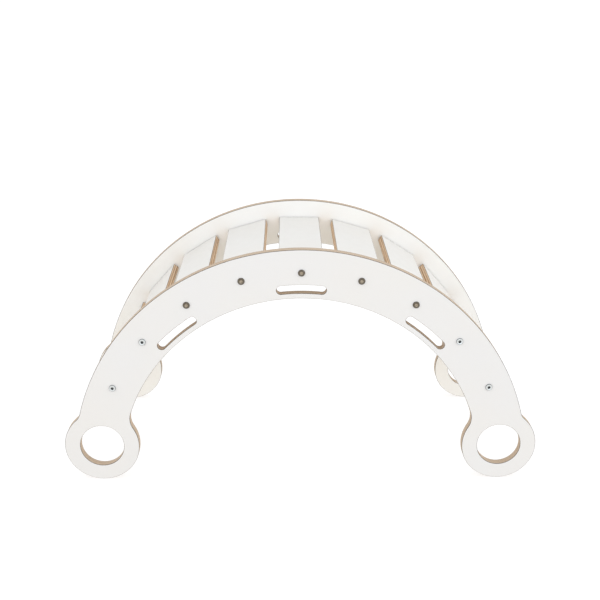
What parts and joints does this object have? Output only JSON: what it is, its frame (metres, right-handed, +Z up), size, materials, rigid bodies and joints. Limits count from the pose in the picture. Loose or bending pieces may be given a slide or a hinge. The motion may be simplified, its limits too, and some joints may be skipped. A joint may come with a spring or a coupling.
{
  "type": "arched rocking seesaw",
  "caption": "Child's rocking and climbing arch: curved plywood side panels with ring ends and hand slots, joined by flat slats held by bolts, barrel nuts and dowels.",
  "frame": {"origin": "on the floor, under the middle of the arch", "axes": "+X along the arch to the right, +Y from the front side panel to the rear one, +Z up"},
  "size_m": [0.9996, 0.4352, 0.5105],
  "materials": {
    "panel_laminate": "plywood with a satin white laminate on its faces, and raw edges that show the plies",
    "slat_laminate": "plywood with a satin white laminate on its faces, and raw edges that show the plies",
    "bronzed_bolt": "bronzed, satin",
    "zinc_bolt": "zinc plated, satin",
    "zinc_nut": "zinc plated"
  },
  "bodies": {
    "root": {"front_side_panel": "panel_laminate", "rear_side_panel": "panel_laminate", "step_slat_1": "slat_laminate", "step_slat_2": "slat_laminate", "step_slat_3": "slat_laminate", "step_slat_4": "slat_laminate", "step_slat_5": "slat_laminate", "step_slat_6": "slat_laminate", "step_slat_7": "slat_laminate", "step_slat_8": "slat_laminate", "step_slat_9": "slat_laminate", "front_bolt_1": "zinc_bolt", "front_bolt_2": "zinc_bolt", "front_bolt_3": "bronzed_bolt", "front_bolt_4": "bronzed_bolt", "front_bolt_5": "bronzed_bolt", "front_bolt_6": "bronzed_bolt", "front_bolt_7": "bronzed_bolt", "front_bolt_8": "zinc_bolt", "front_bolt_9": "zinc_bolt", "rear_bolt_1": "zinc_bolt", "rear_bolt_2": "zinc_bolt", "rear_bolt_3": "bronzed_bolt", "rear_bolt_4": "bronzed_bolt", "rear_bolt_5": "bronzed_bolt", "rear_bolt_6": "bronzed_bolt", "rear_bolt_7": "bronzed_bolt", "rear_bolt_8": "zinc_bolt", "rear_bolt_9": "zinc_bolt", "front_barrel_nut_1": "zinc_nut", "front_barrel_nut_2": "zinc_nut", "front_barrel_nut_3": "zinc_nut", "front_barrel_nut_4": "zinc_nut", "front_barrel_nut_5": "zinc_nut", "front_barrel_nut_6": "zinc_nut", "front_barrel_nut_7": "zinc_nut", "front_barrel_nut_8": "zinc_nut", "front_barrel_nut_9": "zinc_nut", "rear_barrel_nut_1": "zinc_nut", "rear_barrel_nut_2": "zinc_nut", "rear_barrel_nut_3": "zinc_nut", "rear_barrel_nut_4": "zinc_nut", "rear_barrel_nut_5": "zinc_nut", "rear_barrel_nut_6": "zinc_nut", "rear_barrel_nut_7": "zinc_nut", "rear_barrel_nut_8": "zinc_nut", "rear_barrel_nut_9": "zinc_nut"}
  },
  "joints": []
}
